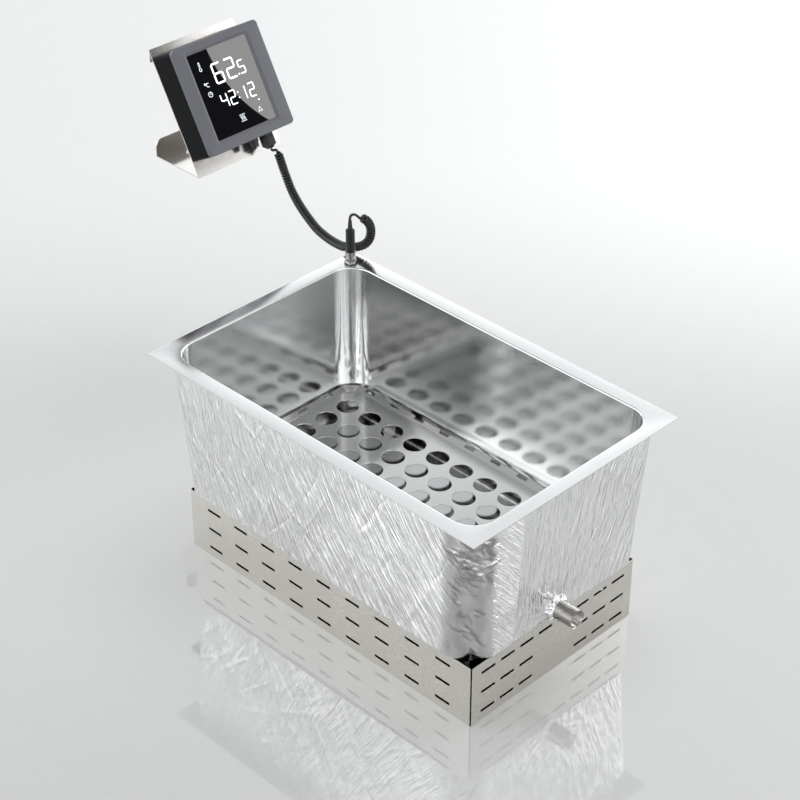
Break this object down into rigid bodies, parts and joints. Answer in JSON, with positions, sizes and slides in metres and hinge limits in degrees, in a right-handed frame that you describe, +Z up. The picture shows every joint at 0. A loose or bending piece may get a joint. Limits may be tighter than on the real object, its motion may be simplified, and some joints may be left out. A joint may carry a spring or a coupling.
{
  "type": "sous vide bath with remote controller",
  "caption": "Drop-in sous vide water bath: flanged tank in foil insulation on a slotted casing, lift-out perforated false bottom, drain, curly cord to a touch controller on a wall bracket.",
  "frame": {"origin": "centre of the bath's underside, on the surface that it stands on", "axes": "+X along the bath towards the drain, +Y across it towards the side that the controller is on, +Z up; the controller's wall is at the -X end"},
  "size_m": [0.86, 0.414, 0.5463],
  "materials": {
    "steel_tank": "satin drawn stainless, brushed inside",
    "foil": "bright crumpled foil",
    "casing_steel": "warm grey satin sheet",
    "bright_steel": "polished turned steel",
    "plate_steel": "bright satin sheet",
    "bracket_steel": "bright satin folded sheet",
    "zinc_steel": "zinc-plated fasteners",
    "heater": "moulded silicone mat",
    "red_lead": "silicone-sleeved lead",
    "mineral_board": "pressed mineral fibre",
    "ceramic": "glazed ceramic body",
    "board": "solder-masked laminate",
    "relay_blue": "moulded cover",
    "amber_plastic": "taped transformer block",
    "heatsink_alu": "extruded, natural",
    "green_plastic": "moulded terminal block",
    "black_plastic": "fine-grained moulded nylon",
    "black_rubber": "soft black rubber",
    "cord_black": "satin polyurethane sheath",
    "case_plastic": "fine-textured moulded housing",
    "bezel_plastic": "satin grey moulded frame",
    "window": "gloss black printed glass",
    "brass": "turned brass"
  },
  "bodies": {
    "root": {"tank": "steel_tank", "foil_insulation": "foil", "casing": "casing_steel", "drain_pipe": "bright_steel", "drain_collar": "bright_steel", "heater_mat": "heater", "heater_leads": "red_lead", "insulation_board": "mineral_board", "limiter": "ceramic", "temp_probe": "bright_steel", "probe_clip": "zinc_steel", "mounting_studs": "zinc_steel", "base_screws": "zinc_steel", "power_board": "board", "board_spacers": "zinc_steel", "relays": "relay_blue", "power_supply": "amber_plastic", "heatsink": "heatsink_alu", "terminal_block": "green_plastic", "mains_gland": "black_plastic", "mains_gland_nut": "black_plastic", "signal_lead": "cord_black", "control_socket": "bright_steel", "socket_nut": "bright_steel", "socket_gasket": "black_rubber", "plug_body": "black_plastic", "plug_boot": "black_rubber", "curly_cord": "cord_black", "cord_end_plug": "cord_black", "cord_end_gland": "cord_black", "wall_bracket": "bracket_steel", "bracket_screws": "zinc_steel", "threaded_inserts": "brass", "rear_case": "case_plastic", "bezel": "bezel_plastic", "window_glass": "window", "case_gasket": "black_rubber", "display_module": "board", "touch_board": "board", "control_board": "board", "control_board_posts": "zinc_steel", "buzzer": "black_plastic", "case_screws": "zinc_steel", "cable_gland": "black_plastic", "cable_gland_nut": "black_plastic", "cable_gland_seal": "black_rubber", "gland_locknuts": "black_plastic", "blank_gland": "black_plastic"},
    "false_bottom_plate": {"false_bottom": "plate_steel", "plate_feet": "plate_steel"},
    "plug_ring": {"coupling_ring": "bright_steel"}
  },
  "joints": [
    {"name": "false_bottom_lift", "type": "slide", "parent": "root", "child": "false_bottom_plate", "axis": [0, 0, 1], "range_m": [0, 0.22]},
    {"name": "coupling_ring_turn", "type": "hinge", "parent": "root", "child": "plug_ring", "pos_m": [-0.261, 0.156, 0.315], "axis": [0, 0, 1], "range_deg": [0, 540]}
  ]
}
